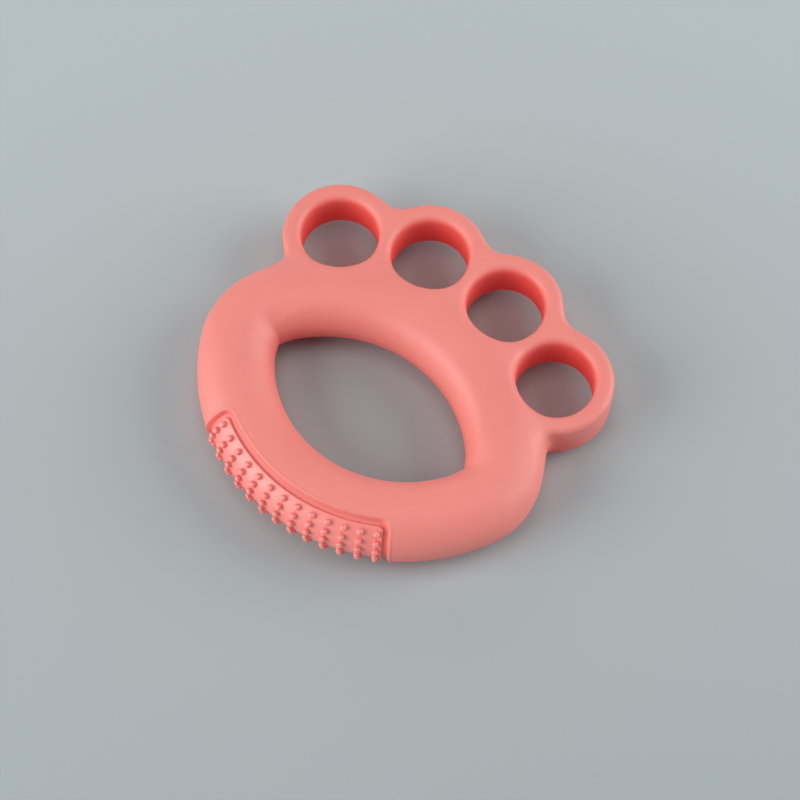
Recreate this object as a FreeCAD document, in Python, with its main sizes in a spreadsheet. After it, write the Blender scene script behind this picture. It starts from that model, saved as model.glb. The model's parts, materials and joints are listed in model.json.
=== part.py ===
import FreeCAD, Part
import math
import os

import Sketcher
from FreeCAD import Placement, Rotation, Vector

# A soft paw-shaped hand grip lying flat. The palm sits against the lower bar of a thick ring, the
# ring's upper bar carries a bank of four finger loops, and a panel of massage nubs is set into the
# palm face. X runs across the four fingers, Y from the palm (-Y) to the fingertips (+Y), and Z is up
# from the surface that the ring lies on. The mould's parting plane is half way up the ring.

DOC = FreeCAD.newDocument("hand_grip")
SHEET = DOC.addObject("Spreadsheet::Sheet", "Sizes")

SIZES = [
    ("eye_line", -9.1, "Y of the line through the two corners of the eye-shaped opening"),
    ("corner_x", 33.7, "X of the rounding centre in each corner of the opening"),
    ("corner_radius", 0.5, "rounding radius in the corners of the opening"),
    ("palm_rise", 17.0, "height of the palm arc's centre above the eye line"),
    ("knuckle_drop", 22.4, "depth of the knuckle arc's centre below the eye line"),
    ("ring_width", 22.6, "width of the ring's elliptical section"),
    ("ring_thick", 20.5, "thickness of the ring's elliptical section"),
    ("palm_half", 38.0, "half the angle of the palm bar"),
    ("pad_half", 30.9, "half the angle of the massage pad"),
    ("pad_sink", 0.85, "depth of the pad's face below the ring's surface"),
    ("pad_thick", 1.6, "thickness of the massage pad"),
    ("pad_inset", 5.2, "inner edge of the pad, outwards from the ring's centre line"),
    ("pad_gap", 1.0, "width of the groove round the pad"),
    ("nub_dia", 1.85, "diameter of a massage nub"),
    ("nub_height", 1.5, "height of a massage nub above the pad"),
    ("nub_edge", 0.5, "rounding of a nub's top edge"),
    ("nub_root", 0.5, "depth of an untrimmed nub below the pad's face"),
    ("nub_step", 4.83, "angle between neighbouring nubs in a row"),
    ("nub_count", 13, "nubs in a row"),
    ("row_step", 16.4, "angle between rows of nubs, round the ring's section"),
    ("bank_thick", 14.5, "thickness of the bank of finger loops"),
    ("bank_half", 51.0, "half the angle that the bank of finger loops takes up"),
    ("bank_inset", 14.5, "inner edge of the bank, outwards from the opening"),
    ("loop_reach", 29.65, "finger hole centres, outwards from the opening"),
    ("loop_pitch", 22.5, "angle between neighbouring finger holes"),
    ("bore_dia", 23.0, "diameter of a finger hole"),
    ("loop_wall", 5.4, "wall of a finger loop"),
    ("crotch_radius", 4.0, "inside radius between neighbouring loops, and at the shoulders"),
    ("rim_radius", 1.6, "rounding of the rims of the finger holes"),
    ("spare", 2.0, "how far a cutting sketch runs past what it cuts"),
    ("spare_turn", 4.0, "how much further a cut turns than what it cuts"),
]
for row, (alias, value, note) in enumerate(SIZES, start=1):
    SHEET.set("A%d" % row, note)
    SHEET.set("B%d" % row, str(value))
    SHEET.setAlias("B%d" % row, alias)
DOC.recompute()

# Derived lengths, as expressions on the sheet.
MID_Z = "Sizes.ring_thick / 2"
PALM_EYE = "(hypot(Sizes.corner_x; Sizes.palm_rise) + Sizes.corner_radius)"
KNUCKLE_EYE = "(hypot(Sizes.corner_x; Sizes.knuckle_drop) + Sizes.corner_radius)"
PALM_LINE = PALM_EYE + " + Sizes.ring_width / 2"
KNUCKLE_LINE = KNUCKLE_EYE + " + Sizes.ring_width / 2"
CORNER_LINE = "Sizes.corner_radius + Sizes.ring_width / 2"
LOOP_LINE = KNUCKLE_EYE + " + Sizes.loop_reach"
BANK_EDGE = KNUCKLE_EYE + " + Sizes.bank_inset"
SHOULDER = KNUCKLE_LINE + " + Sizes.ring_width / 2 * sqrt(1 - (Sizes.bank_thick / Sizes.ring_thick)^2)"
LOOP_OUTER = "Sizes.bore_dia / 2 + Sizes.loop_wall"
PAD_BACK = "Sizes.pad_sink + Sizes.pad_thick"
PALM_END = "atan(Sizes.corner_x / Sizes.palm_rise)"
KNUCKLE_END = "atan(Sizes.corner_x / Sizes.knuckle_drop)"

# The same lengths as numbers, for the first drawing of each sketch.
S = {alias: value for alias, value, note in SIZES}
MID = S["ring_thick"] / 2
HALF_WIDTH = S["ring_width"] / 2
PALM_EYE_MM = math.hypot(S["corner_x"], S["palm_rise"]) + S["corner_radius"]
KNUCKLE_EYE_MM = math.hypot(S["corner_x"], S["knuckle_drop"]) + S["corner_radius"]
PALM_LINE_MM = PALM_EYE_MM + HALF_WIDTH
KNUCKLE_LINE_MM = KNUCKLE_EYE_MM + HALF_WIDTH
LOOP_LINE_MM = KNUCKLE_EYE_MM + S["loop_reach"]
BANK_EDGE_MM = KNUCKLE_EYE_MM + S["bank_inset"]
LOOP_OUTER_MM = S["bore_dia"] / 2 + S["loop_wall"]
PAD_BACK_MM = S["pad_sink"] + S["pad_thick"]
SHOULDER_MM = KNUCKLE_LINE_MM + HALF_WIDTH * math.sqrt(1 - (S["bank_thick"] / S["ring_thick"]) ** 2)

UP = Vector(0, 0, 1)
ALONG_Y = Vector(0, 1, 0)
FULL_TURN = 360
LOOP_COUNT = 4
ROW_COUNT = 7
ORIGIN = (-1, 1)      # a sketch's own origin point
H_AXIS = -1           # a sketch's horizontal axis
V_AXIS = -2           # a sketch's vertical axis
START, END, CENTRE = 1, 2, 3


def new_body(label, centre_y, turn):
    """A body at mid height, centre_y along Y, turned about Z so that its own +X is radial."""
    body = DOC.addObject("PartDesign::Body", label)
    body.Label = label
    body.Placement = Placement(Vector(0, 0, MID), Rotation(UP, 0))
    body.setExpression("Placement.Base.y", centre_y)
    body.setExpression("Placement.Base.z", MID_Z)
    body.setExpression("Placement.Rotation.Angle", turn)
    return body


def new_sketch(body, name, role):
    """An empty sketch on one of the body's own origin planes."""
    sketch = body.newObject("Sketcher::SketchObject", body.Name + "_" + name)
    plane = [part for part in body.Origin.OriginFeatures if part.Role == role][0]
    sketch.AttachmentSupport = [(plane, "")]
    sketch.MapMode = "FlatFace"
    return sketch


def fix(sketch, constraint, expression):
    """Adds a dimension to the sketch and binds it to the sheet."""
    index = sketch.addConstraint(constraint)
    sketch.setExpression("Constraints[%d]" % index, expression)


def ring_section(body, name, radius, radius_mm, inset="0", inset_mm=0.0):
    """The ring's elliptical section, radius from the body's axis and inset all round."""
    sketch = new_sketch(body, name, "XZ_Plane")
    centre = Vector(radius_mm, 0, 0)
    wide = HALF_WIDTH - inset_mm
    tall = MID - inset_mm
    sketch.addGeometry(Part.Ellipse(centre + Vector(wide, 0, 0), centre + Vector(0, tall, 0), centre))
    sketch.exposeInternalGeometry(0)
    sketch.addConstraint(Sketcher.Constraint("PointOnObject", 0, CENTRE, H_AXIS))
    sketch.addConstraint(Sketcher.Constraint("Horizontal", 1))
    fix(sketch, Sketcher.Constraint("DistanceX", *ORIGIN, 0, CENTRE, radius_mm), radius)
    fix(sketch, Sketcher.Constraint("Distance", 1, 2 * wide), "Sizes.ring_width - 2 * (%s)" % inset)
    fix(sketch, Sketcher.Constraint("Distance", 2, 2 * tall), "Sizes.ring_thick - 2 * (%s)" % inset)
    return sketch


def band_section(body, name, low, low_mm, high, high_mm):
    """A tall rectangle from radius low to radius high, taller than the ring."""
    sketch = new_sketch(body, name, "XZ_Plane")
    tall = MID + S["spare"]
    corners = [Vector(low_mm, -tall, 0), Vector(high_mm, -tall, 0),
               Vector(high_mm, tall, 0), Vector(low_mm, tall, 0)]
    for index in range(4):
        sketch.addGeometry(Part.LineSegment(corners[index], corners[(index + 1) % 4]))
    for index in range(4):
        sketch.addConstraint(Sketcher.Constraint("Coincident", index, END, (index + 1) % 4, START))
    for index in (0, 2):
        sketch.addConstraint(Sketcher.Constraint("Horizontal", index))
        sketch.addConstraint(Sketcher.Constraint("Vertical", index + 1))
    fix(sketch, Sketcher.Constraint("DistanceX", *ORIGIN, 0, START, low_mm), low)
    fix(sketch, Sketcher.Constraint("DistanceX", *ORIGIN, 1, START, high_mm), high)
    fix(sketch, Sketcher.Constraint("DistanceY", 0, START, *ORIGIN, tall), MID_Z + " + Sizes.spare")
    fix(sketch, Sketcher.Constraint("DistanceY", *ORIGIN, 2, START, tall), MID_Z + " + Sizes.spare")
    return sketch


def turned(body, kind, name, sketch, angle):
    """Sweeps a sketch about the body's vertical axis, half the angle to each side."""
    feature = body.newObject("PartDesign::" + kind, body.Name + "_" + name)
    feature.Profile = sketch
    feature.ReferenceAxis = (sketch, ["V_Axis"])
    feature.Midplane = True
    feature.setExpression("Angle", angle)
    sketch.Visibility = False
    DOC.recompute()
    return feature


def make_palm_bar():
    """The lower bar of the ring, with the recess that the massage pad lies in."""
    body = new_body("palm_bar", "Sizes.eye_line + Sizes.palm_rise", "-90")
    turned(body, "Revolution", "bar", ring_section(body, "ring", PALM_LINE, PALM_LINE_MM),
           "2 * Sizes.palm_half")
    recess = "2 * (Sizes.pad_half + Sizes.pad_gap / (%s) * 180 / pi)" % PALM_LINE
    edge = PALM_LINE + " + Sizes.pad_inset - Sizes.pad_gap"
    edge_mm = PALM_LINE_MM + S["pad_inset"] - S["pad_gap"]
    cut = band_section(body, "clear", edge, edge_mm, PALM_LINE + " + Sizes.ring_width",
                       PALM_LINE_MM + S["ring_width"])
    turned(body, "Groove", "recess", cut, recess)
    floor = ring_section(body, "floor", PALM_LINE, PALM_LINE_MM, PAD_BACK, PAD_BACK_MM)
    turned(body, "Revolution", "recess_floor", floor, recess)
    return body


def make_massage_pad():
    """The curved strip on the recess's floor, a little below the ring's surface, with a groove round it."""
    body = new_body("massage_pad", "Sizes.eye_line + Sizes.palm_rise", "-90")
    face = ring_section(body, "face", PALM_LINE, PALM_LINE_MM, "Sizes.pad_sink", S["pad_sink"])
    turned(body, "Revolution", "strip", face, "2 * Sizes.pad_half")
    back = ring_section(body, "back", PALM_LINE, PALM_LINE_MM, PAD_BACK, PAD_BACK_MM)
    turned(body, "Groove", "hollow", back, "2 * Sizes.pad_half + Sizes.spare_turn")
    edge = band_section(body, "edge", PALM_LINE + " - Sizes.ring_width",
                        PALM_LINE_MM - S["ring_width"], PALM_LINE + " + Sizes.pad_inset",
                        PALM_LINE_MM + S["pad_inset"])
    turned(body, "Groove", "trim", edge, "2 * Sizes.pad_half + Sizes.spare_turn")
    return body


def make_nub_row(number):
    """One row of short round-topped nubs along the pad, trimmed to stand on its face."""
    rank = number - (ROW_COUNT + 1) / 2
    lean = "(%g * Sizes.row_step)" % rank
    start = "-90 - (Sizes.nub_count - 1) / 2 * Sizes.nub_step"
    body = new_body("nub_row_%d" % number, "Sizes.eye_line + Sizes.palm_rise", start)
    sketch = new_sketch(body, "nub", "XZ_Plane")
    # The foot of the nub is on the elliptical section of the pad's face and its axis is square to it.
    wide = "(Sizes.ring_width / 2 - Sizes.pad_sink)"
    tall = "(Sizes.ring_thick / 2 - Sizes.pad_sink)"
    foot_x = "%s + %s * cos(%s)" % (PALM_LINE, wide, lean)
    foot_y = "%s * sin(%s)" % (tall, lean)
    tilt = "atan2(%s * sin(%s); %s * cos(%s)) - 90 deg" % (wide, lean, tall, lean)
    sketch.AttachmentOffset = Placement(Vector(0, 0, 0), Rotation(UP, 0))
    sketch.setExpression("AttachmentOffset.Base.x", foot_x)
    sketch.setExpression("AttachmentOffset.Base.y", foot_y)
    sketch.setExpression("AttachmentOffset.Rotation.Angle", tilt)
    # Half of the nub's outline: down its axis, out along its foot, up its side, round its edge and
    # in across its top.
    r, high, root, edge = S["nub_dia"] / 2, S["nub_height"], S["nub_root"], S["nub_edge"]
    sketch.addGeometry(Part.LineSegment(Vector(0, high, 0), Vector(0, -root, 0)))
    sketch.addGeometry(Part.LineSegment(Vector(0, -root, 0), Vector(r, -root, 0)))
    sketch.addGeometry(Part.LineSegment(Vector(r, -root, 0), Vector(r, high - edge, 0)))
    rounding = Part.Circle(Vector(r - edge, high - edge, 0), UP, edge)
    sketch.addGeometry(Part.ArcOfCircle(rounding, 0, math.pi / 2))
    sketch.addGeometry(Part.LineSegment(Vector(r - edge, high, 0), Vector(0, high, 0)))
    for first, second in ((0, 1), (1, 2), (4, 0)):
        sketch.addConstraint(Sketcher.Constraint("Coincident", first, END, second, START))
    for first, second in ((2, 3), (3, 4)):
        sketch.addConstraint(Sketcher.Constraint("Tangent", first, END, second, START))
    sketch.addConstraint(Sketcher.Constraint("PointOnObject", 0, START, V_AXIS))
    sketch.addConstraint(Sketcher.Constraint("Vertical", 0))
    sketch.addConstraint(Sketcher.Constraint("Horizontal", 1))
    sketch.addConstraint(Sketcher.Constraint("Vertical", 2))
    sketch.addConstraint(Sketcher.Constraint("Horizontal", 4))
    fix(sketch, Sketcher.Constraint("DistanceX", 1, START, 1, END, r), "Sizes.nub_dia / 2")
    fix(sketch, Sketcher.Constraint("Radius", 3, edge), "Sizes.nub_edge")
    fix(sketch, Sketcher.Constraint("DistanceY", *ORIGIN, 0, START, high), "Sizes.nub_height")
    fix(sketch, Sketcher.Constraint("DistanceY", 0, END, *ORIGIN, root), "Sizes.nub_root")
    nub = body.newObject("PartDesign::Revolution", body.Name + "_nub_turn")
    nub.Profile = sketch
    nub.ReferenceAxis = (sketch, ["V_Axis"])
    nub.Angle = FULL_TURN
    DOC.recompute()
    pattern = body.newObject("PartDesign::PolarPattern", body.Name + "_along_pad")
    pattern.Originals = [nub]
    axis = [part for part in body.Origin.OriginFeatures if part.Role == "Z_Axis"][0]
    pattern.Axis = (axis, [""])
    pattern.setExpression("Angle", "(Sizes.nub_count - 1) * Sizes.nub_step")
    pattern.setExpression("Occurrences", "Sizes.nub_count")
    body.Tip = pattern
    DOC.recompute()
    # The pattern starts at the body's own +X, so a cut centred there needs twice the row's angle.
    seat = ring_section(body, "seat", PALM_LINE, PALM_LINE_MM, "Sizes.pad_sink", S["pad_sink"])
    turned(body, "Groove", "trim", seat, "2 * Sizes.nub_count * Sizes.nub_step")
    return body


def make_right_bow():
    """The right-hand bend of the ring: the end of the palm arc, then the tight turn at the corner."""
    body = DOC.addObject("PartDesign::Body", "right_bow")
    body.Label = "right_bow"
    body.setExpression("Placement.Base.x", "Sizes.corner_x")
    body.setExpression("Placement.Base.y", "Sizes.eye_line")
    body.setExpression("Placement.Base.z", MID_Z)
    corner_line_mm = S["corner_radius"] + HALF_WIDTH
    turn = ring_section(body, "corner", CORNER_LINE, corner_line_mm)
    turn.AttachmentOffset = Placement(Vector(0, 0, 0), Rotation(ALONG_Y, 0))
    turn.setExpression("AttachmentOffset.Rotation.Angle", "(%s - %s) / 2" % (PALM_END, KNUCKLE_END))
    turned(body, "Revolution", "corner_turn", turn, "180 deg - %s - %s" % (PALM_END, KNUCKLE_END))
    arc = ring_section(body, "arc", PALM_LINE, PALM_LINE_MM)
    arc.AttachmentOffset = Placement(Vector(0, 0, 0), Rotation(ALONG_Y, 1))
    arc.setExpression("AttachmentOffset.Base.x", "-Sizes.corner_x")
    arc.setExpression("AttachmentOffset.Base.z", "-Sizes.palm_rise")
    arc.setExpression("AttachmentOffset.Rotation.Angle",
                      "(%s + Sizes.palm_half * 1 deg) / 2 - 90 deg" % PALM_END)
    turned(body, "Revolution", "arc_turn", arc, "%s - Sizes.palm_half * 1 deg" % PALM_END)
    return body


def make_left_bow(right_bow):
    """The left-hand bend of the ring, the mirror image of the right-hand one."""
    bow = DOC.addObject("Part::Mirroring", "left_bow")
    bow.Label = "left_bow"
    bow.Source = right_bow
    bow.Normal = Vector(1, 0, 0)
    return bow


def make_knuckle_bar():
    """The upper bar of the ring, cut back where the bank of finger loops grows out of it."""
    body = new_body("knuckle_bar", "Sizes.eye_line - Sizes.knuckle_drop", "90")
    turned(body, "Revolution", "bar", ring_section(body, "ring", KNUCKLE_LINE, KNUCKLE_LINE_MM),
           "2 * " + KNUCKLE_END)
    cut = band_section(body, "clear", BANK_EDGE, BANK_EDGE_MM, KNUCKLE_LINE + " + Sizes.ring_width",
                       KNUCKLE_LINE_MM + S["ring_width"])
    turned(body, "Groove", "bank_seat", cut, "2 * Sizes.bank_half")
    return body


def polar(radius, degrees):
    return Vector(radius * math.cos(math.radians(degrees)), radius * math.sin(math.radians(degrees)), 0)


def arc_between(centre, radius, start, end):
    """The arc of a circle that runs anticlockwise from start to end."""
    angles = [math.atan2(point.y - centre.y, point.x - centre.x) for point in (start, end)]
    return Part.ArcOfCircle(Part.Circle(centre, UP, radius), *angles)


def side_points(side, neck):
    """Where one side of a loop's outline bends, for the first drawing of its sketch.

    side is 1 for the anticlockwise side. neck is true where the bank ends at the ring's shoulder,
    and false where the next loop begins.
    """
    hub = Vector(LOOP_LINE_MM, 0, 0)
    crotch = S["crotch_radius"]
    far = LOOP_OUTER_MM + crotch
    if neck:
        edge_angle = S["bank_half"] - (LOOP_COUNT - 1) / 2 * S["loop_pitch"]
        reach = SHOULDER_MM + crotch
        cosine = (reach ** 2 + LOOP_LINE_MM ** 2 - far ** 2) / (2 * reach * LOOP_LINE_MM)
        swing = math.degrees(math.acos(cosine))
    else:
        edge_angle = S["loop_pitch"] / 2
        half = math.radians(edge_angle)
        reach = LOOP_LINE_MM * math.cos(half) + math.sqrt(far ** 2 - (LOOP_LINE_MM * math.sin(half)) ** 2)
        swing = edge_angle
    centre = polar(reach, side * swing)
    return {"angle": side * edge_angle, "centre": centre,
            "touch": hub + (centre - hub) * (LOOP_OUTER_MM / far),
            "meet": polar(reach - crotch, side * swing),
            "low": polar(BANK_EDGE_MM, side * edge_angle),
            "high": polar(reach - crotch, side * edge_angle)}


def draw_side(sketch, side, neck, points):
    """One side of a loop's outline: its radial edge, and the crotch or the shoulder next to it.

    The loop's own arc is geometry 0 and the inner arc is geometry 1. Arcs run anticlockwise, so on
    the anticlockwise side both of them end where this side begins.
    """
    first, last = (START, END) if side > 0 else (END, START)
    ends = (points["meet"], points["touch"])
    crotch = arc_between(points["centre"], S["crotch_radius"], *(ends if side > 0 else ends[::-1]))
    edge = sketch.addGeometry(Part.LineSegment(points["low"], points["high"]))
    arc = sketch.addGeometry(crotch)
    fix(sketch, Sketcher.Constraint("Radius", arc, S["crotch_radius"]), "Sizes.crotch_radius")
    sketch.addConstraint(Sketcher.Constraint("Tangent", 0, last, arc, last))
    sketch.addConstraint(Sketcher.Constraint("Coincident", 1, last, edge, START))
    sketch.addConstraint(Sketcher.Constraint("PointOnObject", *ORIGIN, edge))
    if neck:
        ends = (points["meet"], points["high"])
        shoulder = arc_between(Vector(0, 0, 0), SHOULDER_MM, *(ends if side > 0 else ends[::-1]))
        rest = sketch.addGeometry(shoulder)
        sketch.addConstraint(Sketcher.Constraint("Coincident", *ORIGIN, rest, CENTRE))
        sketch.addConstraint(Sketcher.Constraint("Tangent", rest, first, arc, first))
        sketch.addConstraint(Sketcher.Constraint("Coincident", rest, last, edge, END))
        fix(sketch, Sketcher.Constraint("Radius", rest, SHOULDER_MM), SHOULDER)
        angle = "Sizes.bank_half - %g * Sizes.loop_pitch" % ((LOOP_COUNT - 1) / 2)
    else:
        sketch.addConstraint(Sketcher.Constraint("Coincident", arc, first, edge, END))
        sketch.addConstraint(Sketcher.Constraint("PointOnObject", arc, CENTRE, edge))
        angle = "Sizes.loop_pitch / 2"
    fix(sketch, Sketcher.Constraint("Angle", edge, math.radians(points["angle"])),
        angle if side > 0 else "-(%s)" % angle)


def rim_edges(shape, hub):
    """The names of the edges round the two mouths of a finger hole."""
    samples, tolerance = 7, 0.01
    names = []
    for index, edge in enumerate(shape.Edges, start=1):
        points = edge.discretize(samples)
        offsets = [abs(math.hypot(p.x - hub.x, p.y - hub.y) - S["bore_dia"] / 2) for p in points]
        heights = [p.z for p in points]
        is_seam = min(heights) < 0 < max(heights)
        if max(offsets) < tolerance and not is_seam:
            names.append("Edge%d" % index)
    return names


def make_finger_loop(number):
    """One finger loop: its slice of the bank, the ring's surface that it grows out of, and its hole."""
    rank = number - (LOOP_COUNT + 1) / 2
    body = new_body("finger_loop_%d" % number, "Sizes.eye_line - Sizes.knuckle_drop",
                    "90 - %g * Sizes.loop_pitch" % rank)
    necks = {1: number == 1, -1: number == LOOP_COUNT}
    reaches = {}
    for side, neck in necks.items():
        whole = "Sizes.bank_half - %g * Sizes.loop_pitch" % ((LOOP_COUNT - 1) / 2)
        reaches[side] = whole if neck else "Sizes.loop_pitch / 2"
    sweep = "%s + %s" % (reaches[1], reaches[-1])
    middle = "(%s - (%s)) / 2" % (reaches[1], reaches[-1])
    ring = ring_section(body, "ring", KNUCKLE_LINE, KNUCKLE_LINE_MM)
    band = band_section(body, "clear", KNUCKLE_LINE + " - Sizes.ring_width",
                        KNUCKLE_LINE_MM - S["ring_width"], BANK_EDGE, BANK_EDGE_MM)
    for sketch in (ring, band):
        sketch.AttachmentOffset = Placement(Vector(0, 0, 0), Rotation(ALONG_Y, 0))
        sketch.setExpression("AttachmentOffset.Rotation.Angle", middle)
    turned(body, "Revolution", "ring_side", ring, sweep)
    turned(body, "Groove", "ring_seat", band, sweep + " + Sizes.spare_turn")
    outline = new_sketch(body, "outline", "XY_Plane")
    hub = Vector(LOOP_LINE_MM, 0, 0)
    points = {side: side_points(side, neck) for side, neck in necks.items()}
    outline.addGeometry(arc_between(hub, LOOP_OUTER_MM, points[-1]["touch"], points[1]["touch"]))
    outline.addGeometry(arc_between(Vector(0, 0, 0), BANK_EDGE_MM, points[-1]["low"], points[1]["low"]))
    outline.addConstraint(Sketcher.Constraint("PointOnObject", 0, CENTRE, H_AXIS))
    outline.addConstraint(Sketcher.Constraint("Coincident", *ORIGIN, 1, CENTRE))
    fix(outline, Sketcher.Constraint("DistanceX", *ORIGIN, 0, CENTRE, LOOP_LINE_MM), LOOP_LINE)
    fix(outline, Sketcher.Constraint("Radius", 0, LOOP_OUTER_MM), LOOP_OUTER)
    fix(outline, Sketcher.Constraint("Radius", 1, BANK_EDGE_MM), BANK_EDGE)
    for side, neck in necks.items():
        draw_side(outline, side, neck, points[side])
    slab = body.newObject("PartDesign::Pad", body.Name + "_slab")
    slab.Profile = outline
    slab.Midplane = True
    slab.setExpression("Length", "Sizes.bank_thick")
    outline.Visibility = False
    DOC.recompute()
    circle = new_sketch(body, "bore", "XY_Plane")
    circle.addGeometry(Part.Circle(hub, UP, S["bore_dia"] / 2))
    circle.addConstraint(Sketcher.Constraint("PointOnObject", 0, CENTRE, H_AXIS))
    fix(circle, Sketcher.Constraint("DistanceX", *ORIGIN, 0, CENTRE, LOOP_LINE_MM), LOOP_LINE)
    fix(circle, Sketcher.Constraint("Diameter", 0, S["bore_dia"]), "Sizes.bore_dia")
    hole = body.newObject("PartDesign::Pocket", body.Name + "_hole")
    hole.Profile = circle
    hole.Midplane = True
    hole.setExpression("Length", "2 * Sizes.ring_thick")
    circle.Visibility = False
    DOC.recompute()
    rims = body.newObject("PartDesign::Fillet", body.Name + "_rims")
    rims.Base = (hole, rim_edges(hole.Shape, hub))
    rims.setExpression("Radius", "Sizes.rim_radius")
    DOC.recompute()
    return body


def check_and_export(nodes):
    """Stops if anything failed to build, then writes one file for each sub-part."""
    for item in DOC.Objects:
        if "Invalid" in item.State or "Error" in item.State:
            raise RuntimeError("%s did not build: %s" % (item.Label, item.State))
    for node in nodes:
        if node.Shape.isNull() or not node.Shape.isValid():
            raise RuntimeError("%s has no valid shape" % node.Label)
        if node.Label.startswith("nub_row") and len(node.Shape.Solids) != S["nub_count"]:
            raise RuntimeError("%s has lost a nub" % node.Label)
    os.makedirs("parts", exist_ok=True)
    whole = FreeCAD.BoundBox()
    for node in nodes:
        node.Shape.exportStep(os.path.join("parts", node.Label + ".step"))
        whole.add(node.Shape.BoundBox)
        print("%-14s %2d solids %9.1f mm3" % (node.Label, len(node.Shape.Solids), node.Shape.Volume))
    print("box X %.2f %.2f  Y %.2f %.2f  Z %.2f %.2f" % (whole.XMin, whole.XMax, whole.YMin,
                                                         whole.YMax, whole.ZMin, whole.ZMax))


def build():
    palm_bar = make_palm_bar()
    massage_pad = make_massage_pad()
    rows = [make_nub_row(number) for number in range(1, ROW_COUNT + 1)]
    right_bow = make_right_bow()
    left_bow = make_left_bow(right_bow)
    knuckle_bar = make_knuckle_bar()
    loops = [make_finger_loop(number) for number in range(1, LOOP_COUNT + 1)]
    DOC.recompute()
    check_and_export([palm_bar, massage_pad, left_bow, right_bow, knuckle_bar] + rows + loops)


build()
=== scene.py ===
import json
import math

import bmesh
import bpy
import numpy as np
from mathutils import Matrix, Vector


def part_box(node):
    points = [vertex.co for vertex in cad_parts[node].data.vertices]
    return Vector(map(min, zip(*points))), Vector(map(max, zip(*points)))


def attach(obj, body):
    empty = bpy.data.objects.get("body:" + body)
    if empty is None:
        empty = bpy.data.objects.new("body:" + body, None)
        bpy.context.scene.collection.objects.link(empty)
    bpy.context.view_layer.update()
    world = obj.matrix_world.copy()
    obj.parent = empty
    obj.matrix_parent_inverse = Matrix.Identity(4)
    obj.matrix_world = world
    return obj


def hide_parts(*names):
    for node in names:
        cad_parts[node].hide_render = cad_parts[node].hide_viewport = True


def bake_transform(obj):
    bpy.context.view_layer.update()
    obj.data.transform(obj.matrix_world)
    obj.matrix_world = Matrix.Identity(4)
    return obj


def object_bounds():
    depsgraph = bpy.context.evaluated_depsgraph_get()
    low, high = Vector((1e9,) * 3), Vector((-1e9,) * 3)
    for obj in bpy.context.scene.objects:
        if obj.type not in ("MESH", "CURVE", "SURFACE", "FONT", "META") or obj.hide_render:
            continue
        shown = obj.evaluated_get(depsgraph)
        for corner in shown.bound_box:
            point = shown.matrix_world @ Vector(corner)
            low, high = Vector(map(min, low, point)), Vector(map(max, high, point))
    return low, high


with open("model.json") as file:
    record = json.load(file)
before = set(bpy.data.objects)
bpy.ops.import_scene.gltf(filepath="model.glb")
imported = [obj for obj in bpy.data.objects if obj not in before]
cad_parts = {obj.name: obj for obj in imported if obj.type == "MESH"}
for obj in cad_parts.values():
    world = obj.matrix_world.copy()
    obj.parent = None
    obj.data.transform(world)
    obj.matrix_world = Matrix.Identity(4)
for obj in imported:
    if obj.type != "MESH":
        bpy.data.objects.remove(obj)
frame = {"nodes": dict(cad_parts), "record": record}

# A soft hand grip in one silicone moulding: a thick ring with an eye-shaped opening, four finger loops
# in a bank along its far side, and a nubbed massage pad let into its near side. Lengths are in
# millimetres in the row's frame until a mesh is made, which is in metres.

CAD_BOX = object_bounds()
MM = 0.001

# The frame's own sizes.
HOLES = [mount for mount in frame["record"]["mounts"] if mount["kind"] == "bore"]
HUBS = [(mount["pos_m"][0] / MM, mount["pos_m"][1] / MM) for mount in HOLES]
BORE = HOLES[0]["dims"]["r_mm"]
THICK = (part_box("palm_bar")[1].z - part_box("palm_bar")[0].z) / MM
MID = THICK / 2
NUB_ROWS = sorted(name for name in frame["nodes"] if name.startswith("nub_row"))
NUBS_IN_ROW = 13

# The ring. Its opening is two arcs that meet in a small radius at each corner.
EYE_LINE = -9.1                      # Y of the two corners
CORNER_X = 33.7
CORNER_RADIUS = 0.5
PALM_Y = EYE_LINE + 17.0             # centre of the palm bar's arc
KNUCKLE_Y = EYE_LINE - 22.4          # centre of the knuckle bar's arc
PALM_EYE = math.hypot(CORNER_X, PALM_Y - EYE_LINE) + CORNER_RADIUS
KNUCKLE_EYE = math.hypot(CORNER_X, KNUCKLE_Y - EYE_LINE) + CORNER_RADIUS
PALM_WIDTH = 23.1                    # width of the ring's section in the middle of the palm bar
END_WIDTH = 22.1                     # at the ring's two ends
KNUCKLE_WIDTH = 23.6                 # in the middle of the knuckle bar
SLIMMER = 0.7                        # how much less the width is a little past the ends
SLIM_LEAN = 0.3                      # where that is, by how much of +Y the way out has there
SLIM_SPREAD = 0.28                   # how widely that fades
CORNER_FILL = 0.5                    # how far the opening's edge moves in at its two corners
CORNER_FILL_REACH = 3.0
EVEN_SPREAD = 5.0                    # how far round a point the ring's outer shape is averaged
EVEN_SAMPLES = 8
EVEN_FROM, EVEN_TO = 4, 14           # how far out from the opening the averaging fades in
# What averaging adds to a distance beside a long arc.
EVEN_LIFT = EVEN_SPREAD ** 2 / (4 * (PALM_EYE + PALM_WIDTH))

# The bank of finger loops.
BANK_THICK = 15.2
BANK_START = 12.0                    # how far in front of the corners the bank has fully grown
BANK_RAMP = 0.3                      # how steeply it grows out of the ring before that
BANK_INSET = 5                       # how far out from the opening the bank begins
LOOP_RADIUS = BORE + 5.5
LOOP_BLEND = 7.6                     # softening between neighbouring loops
SHOULDER_BLEND = 7.0                 # softening where the bank runs into the ring
CREST_BLEND = 5.0                    # softening between the ring's surface and the bank's
EDGE_ROUND = 1.9                     # rounding of the bank's upper and lower edges
RIM_BLEND = 2.9                      # softening of the holes' rims

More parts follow.
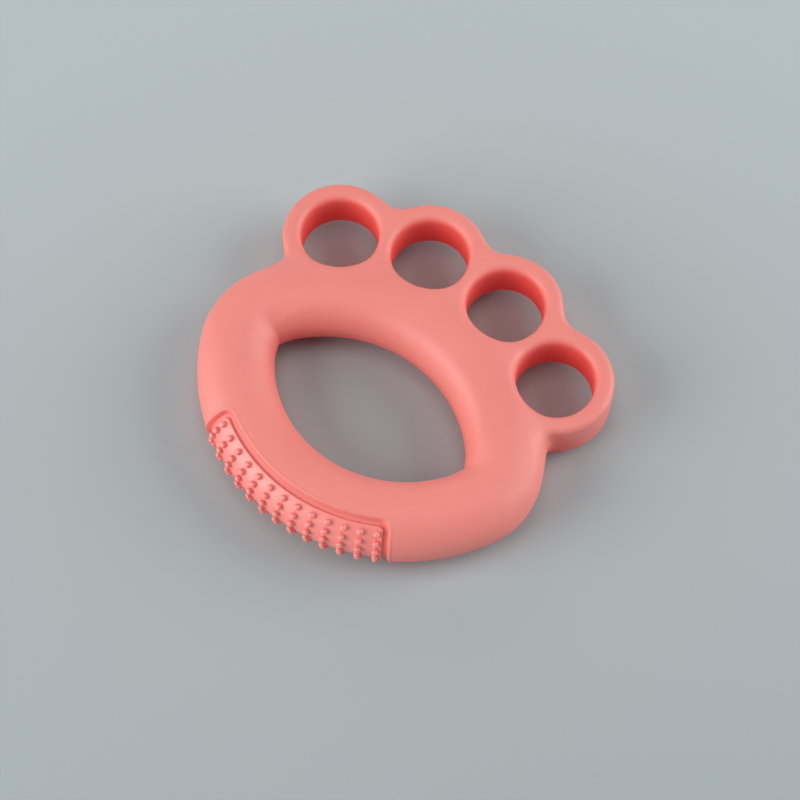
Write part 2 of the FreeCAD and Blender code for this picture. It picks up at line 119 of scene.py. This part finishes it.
# The massage pad, in its own flat coordinates: u along the palm bar, v round its section.
PAD_ARC = 57.0                       # radius that turns an angle along the palm bar into u
PAD_SECTION = 11.0                   # radius that turns an angle round the section into v
PAD_HALF = (30.6, 12.05, 1.7)        # half length, half width and corner radius of the pad
MOUTH_HALF = (32.5, 14.3, 3.3)       # the same of the recess, where it meets the ring's surface
SINK = 0.85                          # depth of the pad's face below the ring's surface
GROOVE_DEPTH = 1.35                  # depth of the bottom of the groove round the pad
GROOVE_FLOOR = 0.4                   # share of the groove's width that its flat bottom takes up
MOUTH_RIM = 0.2                      # height of the faint rim round the recess
MOUTH_RIM_PLACE = 0.15               # how far outside the mouth that rim is
MOUTH_RIM_SPREAD = 0.45
PAD_EDGE = 0.5                       # rounding of the pad's edge
PAD_LIP = 0.2                        # height of the low lip along the pad's edge
PAD_LIP_SPREAD = 0.34
PAD_SPACING = 0.3                    # size of the pad's mesh
NUB_RADIUS = 0.93
NUB_HEIGHT = 1.5                     # above the pad's face
NUB_EDGE = 0.5                       # rounding of the nub's top edge
NUB_DOME = 0.1                       # rise of the nub's top from its round edge to its middle
NUB_FILLET = 0.12                    # fillet at the nub's foot
NUB_ROOT = 0.1                       # how far the nub goes into the pad
NUB_SIDES = 24                       # mesh faces round a nub
NUB_STEP = math.radians(4.83)        # between neighbours in a row
NUB_ROW_STEP = math.radians(16.4)    # between rows, round the section

# The moulding's mesh.
PITCH = 0.55                         # size of its faces
FINE_CUTS = 3                        # cuts in each of its edges near the recess
FINE_MARGIN = 2.0                    # how far round the recess those cuts go
SHAPED_MARGIN = 2.6                  # how far round the recess its points are moved
TINY = 1e-9                          # keeps a distance that is divided by above zero

LIGHT_DISTANCE = 1.1                 # of each light from the grip, in metres


def smooth_min(a, b, k):
    """The smaller of two distances, rounded over where they differ by less than k."""
    h = np.clip(0.5 + 0.5 * (b - a) / k, 0, 1)
    return b + (a - b) * h - k * h * (1 - h)


def smooth_step(low, high, x):
    """Rises smoothly from 0 at low to 1 at high."""
    t = np.clip((x - low) / (high - low), 0, 1)
    return t * t * (3 - 2 * t)


def from_opening(x, y):
    """How far a point is outside the opening's edge, and how much of +Y the way out has there."""
    side = np.abs(x)
    palm = np.hypot(x, y - PALM_Y)
    knuckle = np.hypot(x, y - KNUCKLE_Y)
    corner = np.hypot(side - CORNER_X, y - EYE_LINE)
    past_palm = side * (PALM_Y - EYE_LINE) > CORNER_X * (PALM_Y - y)
    past_knuckle = side * (EYE_LINE - KNUCKLE_Y) > CORNER_X * (y - KNUCKLE_Y)
    in_corner = past_palm & past_knuckle
    from_arcs = np.maximum(palm - PALM_EYE, knuckle - KNUCKLE_EYE)
    out = np.where(in_corner, corner - CORNER_RADIUS, from_arcs)
    out = out + CORNER_FILL * np.exp(-(corner / CORNER_FILL_REACH) ** 2)
    palm_lean = (y - PALM_Y) / np.maximum(palm, 1)
    knuckle_lean = (y - KNUCKLE_Y) / np.maximum(knuckle, 1)
    corner_lean = (y - EYE_LINE) / np.maximum(corner, 1)
    lean = np.where(palm - PALM_EYE > knuckle - KNUCKLE_EYE, palm_lean, knuckle_lean)
    return out, np.where(in_corner, corner_lean, lean)


def ring_width(lean):
    """The ring's width where its outward direction has this much of +Y in it."""
    middle = np.where(lean < 0, PALM_WIDTH, KNUCKLE_WIDTH)
    slimmer = SLIMMER * np.exp(-((lean - SLIM_LEAN) / SLIM_SPREAD) ** 2)
    return END_WIDTH + (middle - END_WIDTH) * lean ** 2 - slimmer


def ring_place(x, y):
    """How far a point is outside the opening's edge, and the ring's width there.

    Both are averaged round the point, the first only towards the ring's outside, so that the arcs run
    into each other smoothly and the opening keeps its sharp corners.
    """
    out = from_opening(x, y)[0]
    even_out, width = -EVEN_LIFT, 0
    for turn in np.linspace(0, 2 * math.pi, EVEN_SAMPLES, endpoint=False):
        near = from_opening(x + EVEN_SPREAD * math.cos(turn), y + EVEN_SPREAD * math.sin(turn))
        even_out = even_out + near[0] / EVEN_SAMPLES
        width = width + ring_width(near[1]) / EVEN_SAMPLES
    return out + smooth_step(EVEN_FROM, EVEN_TO, out) * (even_out - out), width


def grip(points):
    """Signed distance, about, to the moulding's surface without the pad's recess."""
    x, y, z = points[..., 0], points[..., 1], points[..., 2] - MID
    out, width = ring_place(x, y)
    across = out - width / 2
    radius = np.hypot(across, z) + TINY
    reach = np.hypot(across / (width / 2), z / MID) + TINY
    ring = radius - radius / reach
    from_hubs = [np.hypot(x - hub_x, y - hub_y) for hub_x, hub_y in HUBS]
    loops = from_hubs[0] - LOOP_RADIUS
    for from_hub in from_hubs[1:]:
        loops = smooth_min(loops, from_hub - LOOP_RADIUS, LOOP_BLEND)
    holes = np.min(from_hubs, axis=0) - BORE
    inset = width / 2 * (1 - math.sqrt(1 - (BANK_THICK / THICK) ** 2))
    shoulder = np.maximum(out - width + inset, BANK_RAMP * (EYE_LINE + BANK_START - y))
    outline = np.maximum(smooth_min(loops, shoulder, SHOULDER_BLEND), BANK_INSET - out)
    flat = outline + EDGE_ROUND
    tall = np.abs(z) - BANK_THICK / 2 + EDGE_ROUND
    bank = (np.minimum(np.maximum(flat, tall), 0) - EDGE_ROUND
            + np.hypot(np.maximum(flat, 0), np.maximum(tall, 0)))
    body = smooth_min(ring, bank, CREST_BLEND)
    return -smooth_min(-body, holes, RIM_BLEND)


def slope(points, step=0.05):
    """The grip's value at each point, its unit gradient (the surface's normal) and how steep it is."""
    gradient = np.empty_like(points)
    for axis in range(3):
        offset = np.zeros(3)
        offset[axis] = step
        gradient[:, axis] = (grip(points + offset) - grip(points - offset)) / (2 * step)
    length = np.linalg.norm(gradient, axis=1, keepdims=True)
    return grip(points), gradient / np.maximum(length, 1e-6), length[:, 0]


def onto_surface(points, rounds):
    """Moves points onto the grip's surface along its gradient."""
    least_steepness = 0.3
    for _ in range(rounds):
        value, normal, steepness = slope(points)
        points = points - normal * (value / np.maximum(steepness, least_steepness))[:, None]
    return points


def lattice_surface(pitch):
    """A quad mesh of the grip's surface, from a cubic lattice.

    Each cell that the surface crosses gets one point, at the middle of where it crosses the cell's
    edges, and each lattice edge that it crosses gets one face. The lattice is the same on both sides of
    the grip's two planes of symmetry.
    """
    margin = 2
    half_x, half_z = CAD_BOX[1][0] / MM + margin, MID + margin
    low_y, high_y = CAD_BOX[0][1] / MM - margin, CAD_BOX[1][1] / MM + margin
    xs = np.arange(-round(half_x / pitch) - 0.5, round(half_x / pitch) + 1) * pitch
    ys = np.arange(low_y, high_y + pitch, pitch)
    zs = np.arange(-round(half_z / pitch) - 0.5, round(half_z / pitch) + 1) * pitch + MID
    grid = np.stack(np.meshgrid(xs, ys, zs, indexing="ij"), axis=-1)
    value = grip(grid)
    inside = value < 0
    corners = [(i, j, k) for i in (0, 1) for j in (0, 1) for k in (0, 1)]
    shape = np.array(value.shape) - 1

    def at(array, corner):
        i, j, k = corner
        return array[i:i + shape[0], j:j + shape[1], k:k + shape[2]]

    count = sum(at(inside, corner).astype(np.int8) for corner in corners)
    cells = np.argwhere((count > 0) & (count < len(corners)))
    number = np.full(tuple(shape), -1, np.int64)
    number[tuple(cells.T)] = np.arange(len(cells))
    total = np.zeros((len(cells), 3))
    crossings = np.zeros(len(cells))
    for first in corners:
        for axis in range(3):
            if first[axis]:
                continue
            second = tuple(c + (a == axis) for a, c in enumerate(first))
            start = cells + np.array(first)
            end = cells + np.array(second)
            value_a, value_b = value[tuple(start.T)], value[tuple(end.T)]
            cross = (value_a < 0) != (value_b < 0)
            share = np.where(cross, value_a / np.where(cross, value_a - value_b, 1), 0)
            point = start + share[:, None] * (end - start)
            total += np.where(cross[:, None], point, 0)
            crossings += cross
    place = total / crossings[:, None]
    points = np.array([xs[0], ys[0], zs[0]]) + place * pitch
    faces = []
    for axis in range(3):
        one, two = (axis + 1) % 3, (axis + 2) % 3
        ahead = [slice(None)] * 3
        behind = [slice(None)] * 3
        ahead[axis], behind[axis] = slice(1, None), slice(None, -1)
        leaves = inside[tuple(behind)] & ~inside[tuple(ahead)]
        enters = ~inside[tuple(behind)] & inside[tuple(ahead)]
        for crossing, order in ((leaves, (0, 1, 2, 3)), (enters, (3, 2, 1, 0))):
            base = np.argwhere(crossing)
            ring = []
            for step_one, step_two in ((-1, -1), (0, -1), (0, 0), (-1, 0)):
                cell = base.copy()
                cell[:, one] += step_one
                cell[:, two] += step_two
                ring.append(number[tuple(cell.T)])
            faces.append(np.stack([ring[index] for index in order], axis=1))
    return points, np.concatenate(faces)


def relaxed(points, faces, rounds):
    """Evens out the mesh along the surface: each point moves towards the middle of its neighbours."""
    ends = np.concatenate([faces, np.roll(faces, -1, axis=1)]).ravel()
    others = np.concatenate([np.roll(faces, -1, axis=1), faces]).ravel()
    count = np.bincount(ends, minlength=len(points))[:, None]
    stride = 0.6
    for _ in range(rounds):
        total = np.stack([np.bincount(ends, points[others, axis], len(points)) for axis in range(3)], 1)
        points = onto_surface(points + stride * (total / count - points), 1)
    return onto_surface(points, 2)


def pad_place(points):
    """The pad's flat coordinates of points on the ring."""
    x, y, z = points[:, 0], points[:, 1], points[:, 2] - MID
    along = np.arctan2(x, PALM_Y - y)
    out, width = ring_place(x, y)
    section = np.arctan2(z / MID, (out - width / 2) / (width / 2))
    return along * PAD_ARC, section * PAD_SECTION


def outside(u, v, half):
    """Signed distance outside a rounded rectangle of the given half sizes and corner radius."""
    side = np.abs(u) - half[0] + half[2]
    top = np.abs(v) - half[1] + half[2]
    return (np.minimum(np.maximum(side, top), 0) - half[2]
            + np.hypot(np.maximum(side, 0), np.maximum(top, 0)))


def recess_lift(u, v):
    """Height of the moulding's surface round the pad: a groove that slopes up to a faint raised rim."""
    from_pad = outside(u, v, PAD_HALF)
    from_mouth = outside(u, v, MOUTH_HALF)
    share = from_pad / np.maximum(from_pad - from_mouth, 1e-6)
    rise = smooth_step(GROOVE_FLOOR, 1, np.where(from_mouth < 0, share, 1))
    rim = MOUTH_RIM * np.exp(-((from_mouth - MOUTH_RIM_PLACE) / MOUTH_RIM_SPREAD) ** 2)
    return rim - GROOVE_DEPTH * (1 - rise)


def make_mesh(name, points, faces):
    """A mesh object in metres, from points in millimetres."""
    mesh = bpy.data.meshes.new(name)
    mesh.from_pydata((np.asarray(points) * MM).tolist(), [], faces)
    mesh.validate()
    mesh.polygons.foreach_set("use_smooth", [True] * len(mesh.polygons))
    piece = bpy.data.objects.new(name, mesh)
    bpy.context.scene.collection.objects.link(piece)
    return piece


def near_recess(points, margin):
    """Which points are on the recess or within the margin round it."""
    return (outside(*pad_place(points), MOUTH_HALF) < margin) & (points[:, 1] < EYE_LINE)


def make_grip():
    """The whole moulding, with a finer mesh round the pad's recess, its groove and its raised rim."""
    points, faces = lattice_surface(PITCH)
    points = relaxed(points, faces, 6)
    piece = make_mesh("silicone_grip", points, faces.tolist())
    near = near_recess(points, FINE_MARGIN)
    work = bmesh.new()
    work.from_mesh(piece.data)
    work.verts.ensure_lookup_table()
    close = [face for face in work.faces if all(near[vert.index] for vert in face.verts)]
    edges = {edge for face in close for edge in face.edges}
    bmesh.ops.subdivide_edges(work, edges=list(edges), cuts=FINE_CUTS, use_grid_fill=True)
    bmesh.ops.triangulate(work, faces=[face for face in work.faces if len(face.verts) > 4])
    work.to_mesh(piece.data)
    work.free()
    points = np.empty(len(piece.data.vertices) * 3)
    piece.data.vertices.foreach_get("co", points)
    points = points.reshape(-1, 3) / MM
    near = near_recess(points, SHAPED_MARGIN)
    skin = onto_surface(points[near], 3)
    normal = slope(skin)[1]
    points[near] = skin + normal * recess_lift(*pad_place(skin))[:, None]
    piece.data.vertices.foreach_set("co", (points * MM).ravel())
    piece.data.polygons.foreach_set("use_smooth", [True] * len(piece.data.polygons))
    piece.data.update()
    mark_bores(piece, points)
    return piece


def mark_bores(piece, points):
    """Stores how much each vertex belongs to the wall of a finger hole, for the material."""
    past_wall = np.min([np.hypot(points[:, 0] - x, points[:, 1] - y) - BORE for x, y in HUBS], axis=0)
    on_wall = 1 - smooth_step(0.3, 1.2, past_wall)
    piece.data.attributes.new("bore_wall", "FLOAT", "POINT").data.foreach_set("value", on_wall)


def palm_point(u, v, lift):
    """The point at pad coordinates u and v, lifted square off the palm bar's surface."""
    along, section = u / PAD_ARC, v / PAD_SECTION
    half = ring_width(-np.cos(along)) / 2
    out, up = np.cos(section) / half, np.sin(section) / MID
    length = np.hypot(out, up)
    radius = PALM_EYE + half + half * np.cos(section) + lift * out / length
    height = MID + MID * np.sin(section) + lift * up / length
    return np.stack([radius * np.sin(along), PALM_Y - radius * np.cos(along), height], axis=-1)


def pad_lines(half):
    """Grid lines across the pad, close together where its edge is rounded."""
    near_edge = PAD_EDGE * (1 - np.cos(np.linspace(0, math.pi / 2, 6)))
    middle = np.linspace(-half + PAD_EDGE, half - PAD_EDGE, int(2 * half / PAD_SPACING))
    return np.concatenate([-half + near_edge[:-1], middle, (half - near_edge[:-1])[::-1]])


def make_pad():
    """The curved strip: a face with a rounded edge and a low lip, side walls and a back."""
    half_u, half_v, corner = PAD_HALF
    grid_u, grid_v = np.meshgrid(pad_lines(half_u), pad_lines(half_v), indexing="ij")
    # The four corner squares of the grid are drawn in to quarter discs.
    in_u = np.clip((np.abs(grid_u) - half_u + corner) / corner, 0, 1)
    in_v = np.clip((np.abs(grid_v) - half_v + corner) / corner, 0, 1)
    u = np.sign(grid_u) * (np.abs(grid_u) - corner * in_u * (1 - np.sqrt(1 - in_v ** 2 / 2)))
    v = np.sign(grid_v) * (np.abs(grid_v) - corner * in_v * (1 - np.sqrt(1 - in_u ** 2 / 2)))
    inset = np.maximum(-outside(u, v, PAD_HALF), 0)
    fall = PAD_EDGE - np.sqrt(np.maximum(PAD_EDGE ** 2 - np.maximum(PAD_EDGE - inset, 0) ** 2, 0))
    lip = PAD_LIP * np.exp(-((inset - PAD_EDGE) / PAD_LIP_SPREAD) ** 2)
    face = palm_point(u, v, lip - fall - SINK)
    below_groove = 0.05
    back = palm_point(u, v, np.full_like(u, -GROOVE_DEPTH - below_groove))
    rows, columns = u.shape
    number = np.arange(rows * columns).reshape(rows, columns)
    quads = np.stack([number[:-1, :-1], number[1:, :-1], number[1:, 1:], number[:-1, 1:]], -1)
    quads = quads.reshape(-1, 4)
    rim = np.concatenate([number[:-1, 0], number[-1, :-1], number[:0:-1, -1], number[0, :0:-1]])
    after = np.roll(rim, -1)
    other = rows * columns
    walls = np.stack([after, rim, rim + other, after + other], -1)
    faces = np.concatenate([quads, quads[:, ::-1] + other, walls])
    return make_mesh("massage_pad_strip", np.concatenate([face.reshape(-1, 3), back.reshape(-1, 3)]),
                     faces.tolist())


def nub_profile():
    """Radius and height up one nub: a foot fillet, a straight side, a round edge and a low dome."""
    shoulder = NUB_HEIGHT - NUB_DOME - NUB_EDGE
    profile = [(NUB_RADIUS + NUB_FILLET, -NUB_ROOT)]
    for angle in np.linspace(0, math.pi / 2, 5):
        radius = NUB_RADIUS + NUB_FILLET * (1 - math.sin(angle))
        profile.append((radius, NUB_FILLET * (1 - math.cos(angle))))
    for angle in np.linspace(0, math.pi / 2, 7):
        radius = NUB_RADIUS - NUB_EDGE * (1 - math.cos(angle))
        profile.append((radius, shoulder + NUB_EDGE * math.sin(angle)))
    crown = NUB_RADIUS - NUB_EDGE
    for share in (2 / 3, 1 / 3, 0):
        profile.append((crown * share, NUB_HEIGHT - NUB_DOME * share ** 2))
    return profile


def make_nub_row(index, name):
    """One row of nubs, each standing square on the pad's face."""
    section = (index - (len(NUB_ROWS) - 1) / 2) * NUB_ROW_STEP
    profile = nub_profile()
    rings = len(profile) - 1
    turns = np.linspace(0, 2 * math.pi, NUB_SIDES, endpoint=False)
    points, faces = [], []
    for place in range(NUBS_IN_ROW):
        along = (place - (NUBS_IN_ROW - 1) / 2) * NUB_STEP
        foot = palm_point(along * PAD_ARC, section * PAD_SECTION, -SINK)
        axis = palm_point(along * PAD_ARC, section * PAD_SECTION, 1.0 - SINK) - foot
        side = np.cross(axis, (0, 0, 1))
        side /= np.linalg.norm(side)
        front = np.cross(axis, side)
        first = len(points)
        for radius, height in profile[:-1]:
            middle = foot + axis * height
            for turn in turns:
                points.append(middle + radius * (side * math.cos(turn) + front * math.sin(turn)))
        for level in range(rings - 1):
            low = first + level * NUB_SIDES
            high = low + NUB_SIDES
            for step in range(NUB_SIDES):
                after = (step + 1) % NUB_SIDES
                faces.append((low + step, low + after, high + after, high + step))
        tip = len(points)
        points.append(foot + axis * profile[-1][1])
        last = first + (rings - 1) * NUB_SIDES
        for step in range(NUB_SIDES):
            faces.append((last + step, last + (step + 1) % NUB_SIDES, tip))
        faces.append(tuple(first + step for step in reversed(range(NUB_SIDES))))
    return make_mesh(name + "_domes", points, faces)


def node(tree, kind, **values):
    """A shader node with some of its input values or properties set."""
    made = tree.nodes.new(kind)
    for key, value in values.items():
        if key in made.inputs:
            made.inputs[key].default_value = value
        else:
            setattr(made, key, value)
    return made


def colour_ramp(tree, factor, *ends):
    """Goes from one colour to another as the factor rises. Each end is a position and a colour."""
    ramp = node(tree, "ShaderNodeValToRGB")
    for element, (position, colour) in zip(ramp.color_ramp.elements, ends):
        element.position = position
        element.color = (*colour, 1)
    tree.links.new(factor, ramp.inputs["Fac"])
    return ramp.outputs["Color"]


def painted_shade_tint(tree, reach, painted_shade_colour):
    """Painted shade for the base colour: white in the open, and the given shade colour where walls
    within reach shut most of the light out.

    reach is in metres.
    """
    shelter = node(tree, "ShaderNodeAmbientOcclusion", Distance=reach, samples=8)
    return colour_ramp(tree, shelter.outputs["AO"], (0.3, painted_shade_colour), (0.85, (1, 1, 1)))


def add_bump(tree, height, below, strength, distance):
    """A bump of the given height pattern, on top of the normal below it."""
    bump = node(tree, "ShaderNodeBump", Strength=strength, Distance=distance)
    tree.links.new(height, bump.inputs["Height"])
    if below:
        tree.links.new(below, bump.inputs["Normal"])
    return bump.outputs["Normal"]


def parting_line(tree, place):
    """A fine line half way up, where the mould's two halves meet."""
    apart = node(tree, "ShaderNodeSeparateXYZ")
    tree.links.new(place, apart.inputs["Vector"])
    level = node(tree, "ShaderNodeMath", operation="SUBTRACT")
    level.inputs[1].default_value = MID * MM
    tree.links.new(apart.outputs["Z"], level.inputs[0])
    off = node(tree, "ShaderNodeMath", operation="ABSOLUTE")
    tree.links.new(level.outputs["Value"], off.inputs[0])
    seam = node(tree, "ShaderNodeMapRange", interpolation_type="SMOOTHSTEP")
    seam.inputs["From Min"].default_value = 0.00003
    seam.inputs["From Max"].default_value = 0.00018
    seam.inputs["To Min"].default_value = 1.0
    seam.inputs["To Max"].default_value = 0.0
    tree.links.new(off.outputs["Value"], seam.inputs["Value"])
    return seam.outputs["Result"]


def pin_rings(tree, place):
    """The turned rings of the mould's core pins, on the walls of the finger holes only."""
    rings = node(tree, "ShaderNodeTexWave", bands_direction="Z", Scale=700.0, Distortion=1.5,
                 Detail=1.0)
    tree.links.new(place, rings.inputs["Vector"])
    wall = node(tree, "ShaderNodeAttribute", attribute_name="bore_wall")
    marks = node(tree, "ShaderNodeMath", operation="MULTIPLY")
    tree.links.new(rings.outputs["Fac"], marks.inputs[0])
    tree.links.new(wall.outputs["Fac"], marks.inputs[1])
    return marks.outputs["Value"]


def silicone(name, pale, roughness, grain, glow, reach, painted_shade_colour):
    """Matt moulded silicone with painted shade that deepens its colour where it is sheltered from
    light, and with what its mould left on it.

    pale scales the colour's three channels; above one it paints light in as a paler copy of the same
    silicone. grain is the strength of the fine spark-eroded grain, glow is the share of light that
    scatters under the surface, and the painted shade tint explains reach and the shade colour.
    """
    material = bpy.data.materials.new(name)
    material.use_nodes = True
    tree = material.node_tree
    link = tree.links.new
    shader = tree.nodes["Principled BSDF"]
    place = node(tree, "ShaderNodeTexCoord").outputs["Object"]
    drift = node(tree, "ShaderNodeTexNoise", Scale=38.0, Detail=3.0, Roughness=0.55)
    link(place, drift.inputs["Vector"])
    dark, light = (np.multiply(coral, pale) for coral in ((0.795, 0.203, 0.168), (0.825, 0.223, 0.186)))
    colour_with_painted_shade = node(tree, "ShaderNodeVectorMath", operation="MULTIPLY")
    link(colour_ramp(tree, drift.outputs["Fac"], (0.3, dark), (0.7, light)), colour_with_painted_shade.inputs[0])
    # Painted shade: the base colour deepens in hollows, where walls within reach shut out the light.
    link(painted_shade_tint(tree, reach, painted_shade_colour), colour_with_painted_shade.inputs[1])
    link(colour_with_painted_shade.outputs["Vector"], shader.inputs["Base Color"])
    rough = node(tree, "ShaderNodeMapRange")
    rough.inputs["To Min"].default_value = roughness - 0.05
    rough.inputs["To Max"].default_value = roughness + 0.05
    link(drift.outputs["Fac"], rough.inputs["Value"])
    link(rough.outputs["Result"], shader.inputs["Roughness"])
    fine = node(tree, "ShaderNodeTexNoise", Scale=5200.0, Detail=4.0, Roughness=0.6)
    link(place, fine.inputs["Vector"])
    normal = add_bump(tree, fine.outputs["Fac"], None, grain, 0.00004)
    normal = add_bump(tree, parting_line(tree, place), normal, 0.5, 0.00006)
    normal = add_bump(tree, pin_rings(tree, place), normal, 0.5, 0.00003)
    link(normal, shader.inputs["Normal"])
    shader.inputs["Specular IOR Level"].default_value = 0.9
    shader.inputs["IOR"].default_value = 1.53
    shader.inputs["Subsurface Weight"].default_value = glow
    shader.inputs["Subsurface Radius"].default_value = (1.0, 0.35, 0.25)
    shader.inputs["Subsurface Scale"].default_value = 0.0015
    shader.inputs["Sheen Weight"].default_value = 0.08
    shader.inputs["Sheen Roughness"].default_value = 0.5
    return material


def floor_material():
    """Pale blue-grey paper with a very soft grain, and painted light that makes it a little paler
    towards the back of the table.
    """
    material = bpy.data.materials.new("floor_paper")
    material.use_nodes = True
    tree = material.node_tree
    link = tree.links.new
    shader = tree.nodes["Principled BSDF"]
    place = node(tree, "ShaderNodeTexCoord")
    # Painted light: the paper's colour grows paler towards the back of the table.
    towards_back = node(tree, "ShaderNodeVectorMath", operation="DOT_PRODUCT")
    towards_back.inputs[1].default_value = (-0.6, 0.8, 0)
    link(place.outputs["Object"], towards_back.inputs[0])
    mottle = node(tree, "ShaderNodeTexNoise", Scale=3.0, Detail=2.0)
    link(place.outputs["Object"], mottle.inputs["Vector"])
    patchy = node(tree, "ShaderNodeMath", operation="MULTIPLY_ADD")
    patchy.inputs[1].default_value = 0.06
    link(mottle.outputs["Fac"], patchy.inputs[0])
    link(towards_back.outputs["Value"], patchy.inputs[2])
    fade = node(tree, "ShaderNodeMapRange", interpolation_type="SMOOTHSTEP")
    fade.inputs["From Min"].default_value = -0.30
    fade.inputs["From Max"].default_value = 0.36
    link(patchy.outputs["Value"], fade.inputs["Value"])
    near, far = (0.345, 0.385, 0.394), (0.465, 0.516, 0.528)
    link(colour_ramp(tree, fade.outputs["Result"], (0, near), (1, far)), shader.inputs["Base Color"])
    shader.inputs["Roughness"].default_value = 0.85
    shader.inputs["Specular IOR Level"].default_value = 0.2
    return material


def make_stage():
    """The table that the grip lies on."""
    bpy.ops.mesh.primitive_plane_add(size=6.0, location=(0, 0, 0))
    floor = bpy.context.object
    floor.name = "floor"
    floor.data.materials.append(floor_material())


def softbox(name, azimuth, elevation, width, height, power):
    """A soft rectangular light that faces the grip. Angles are in degrees."""
    turn, rise = math.radians(azimuth), math.radians(elevation)
    way = Vector((math.cos(turn) * math.cos(rise), math.sin(turn) * math.cos(rise), math.sin(rise)))
    data = bpy.data.lights.new(name, "AREA")
    data.shape = "RECTANGLE"
    data.size, data.size_y = width, height
    data.energy = power
    lamp = bpy.data.objects.new(name, data)
    lamp.location = way * LIGHT_DISTANCE
    lamp.rotation_euler = way.to_track_quat("Z", "Y").to_euler()
    lamp.visible_camera = False
    bpy.context.scene.collection.objects.link(lamp)


def make_lights():
    """A low softbox on each side, two weak ones overhead and behind, and a room with pale walls."""
    world = bpy.data.worlds.new("studio")
    world.use_nodes = True
    tree = world.node_tree
    link = tree.links.new
    place = node(tree, "ShaderNodeTexCoord")
    apart = node(tree, "ShaderNodeSeparateXYZ")
    link(place.outputs["Generated"], apart.inputs["Vector"])
    fade = node(tree, "ShaderNodeMapRange", interpolation_type="SMOOTHSTEP")
    fade.inputs["From Min"].default_value = 0.0
    fade.inputs["From Max"].default_value = 0.7
    fade.inputs["To Min"].default_value = 0.75
    fade.inputs["To Max"].default_value = 0.05
    link(apart.outputs["Z"], fade.inputs["Value"])
    link(fade.outputs["Result"], tree.nodes["Background"].inputs["Strength"])
    tree.nodes["Background"].inputs["Color"].default_value = (0.96, 0.98, 1.0, 1)
    bpy.context.scene.world = world
    softbox("right_softbox", 45, 27, 0.8, 0.9, 9.6)
    softbox("left_softbox", 235, 27, 0.8, 0.9, 11.4)
    softbox("overhead_softbox", 127, 88, 0.6, 0.6, 2.4)
    softbox("back_softbox", 140, 30, 0.8, 0.6, 1.6)


def make_camera():
    """The camera stands south-east of the grip and looks steeply down at it."""
    azimuth, elevation, roll = (math.radians(angle) for angle in (36.82, 65.66, 0.48))
    distance = 0.6355
    aim = Vector((0.00303, 0.01022 + EYE_LINE * MM, 0))
    back = Vector((math.sin(azimuth) * math.cos(elevation), -math.cos(azimuth) * math.cos(elevation),
                   math.sin(elevation)))
    right = Vector((math.cos(azimuth), math.sin(azimuth), 0))
    above = back.cross(right)
    turned_right = right * math.cos(roll) + above * math.sin(roll)
    turned_above = above * math.cos(roll) - right * math.sin(roll)
    data = bpy.data.cameras.new("camera")
    data.sensor_width = 36.0
    data.lens = 97.1
    data.clip_start = 0.01
    camera = bpy.data.objects.new("camera", data)
    axes = Matrix((turned_right, turned_above, back)).transposed()
    camera.matrix_world = Matrix.Translation(aim + back * distance) @ axes.to_4x4()
    bpy.context.scene.collection.objects.link(camera)
    bpy.context.scene.camera = camera


def build():
    """The moulding, the pad and its nubs, each standing in for parts of the frame, then the studio."""
    # Painted shade deepens the body's colour within 25 mm of walls, and the pad's within 3 mm.
    body = silicone("coral_silicone", pale=(1, 1, 1), roughness=0.58, grain=0.35, glow=0.12,
                    reach=0.025, painted_shade_colour=(1.15, 0.24, 0.21))
    # Painted light: the pad and its nubs use a paler copy of the body's silicone, which stands in for
    # more light falling on the pad.
    pad_silicone_painted_paler = silicone("coral_silicone_pad", pale=(1.1, 1.16, 1.22), roughness=0.5, grain=0.2,
                          glow=0.04, reach=0.003, painted_shade_colour=(1.05, 0.5, 0.45))

    grip_piece = make_grip()
    grip_piece.data.materials.append(body)
    moulding = ["palm_bar", "left_bow", "right_bow", "knuckle_bar"]
    moulding += sorted(name for name in frame["nodes"] if name.startswith("finger_loop"))
    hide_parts(*moulding)
    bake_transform(grip_piece)

    pad = make_pad()
    pad.data.materials.append(pad_silicone_painted_paler)
    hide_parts("massage_pad")
    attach(pad, "palm")

    for index, name in enumerate(NUB_ROWS):
        row = make_nub_row(index, name)
        row.data.materials.append(pad_silicone_painted_paler)
        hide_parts(name)
        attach(row, "palm")

    make_stage()
    make_lights()
    make_camera()
    bpy.context.scene.view_settings.view_transform = "Standard"


build()
